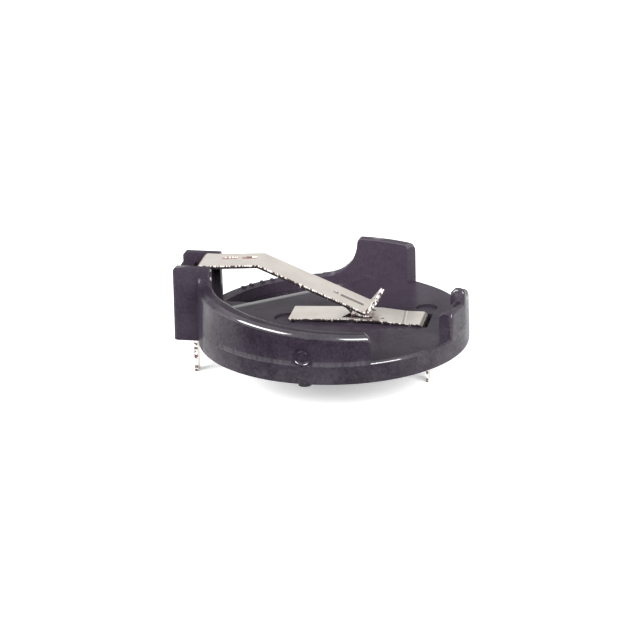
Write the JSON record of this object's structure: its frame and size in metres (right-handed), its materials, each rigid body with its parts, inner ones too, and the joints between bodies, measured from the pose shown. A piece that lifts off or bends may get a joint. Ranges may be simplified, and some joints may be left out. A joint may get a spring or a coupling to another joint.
{
  "type": "coin cell holder",
  "caption": "Round black through-hole holder for a flat coin cell, with curved retaining walls, a plated spring arm over the cell and a contact strip on its floor.",
  "frame": {"origin": "centre of the round cell seat, on the board face under the housing", "axes": "+X from the tower along the arm towards the negative pin, +Z away from the board, +Y towards the tall back tab"},
  "size_m": [0.0248, 0.023, 0.0103],
  "materials": {
    "moulding": "black moulded nylon with a satin gloss",
    "contact_plating": "bright nickel-plated spring sheet with sheared edges"
  },
  "bodies": {
    "root": {"housing": "moulding", "positive_contact": "contact_plating", "negative_contact": "contact_plating"}
  },
  "joints": []
}
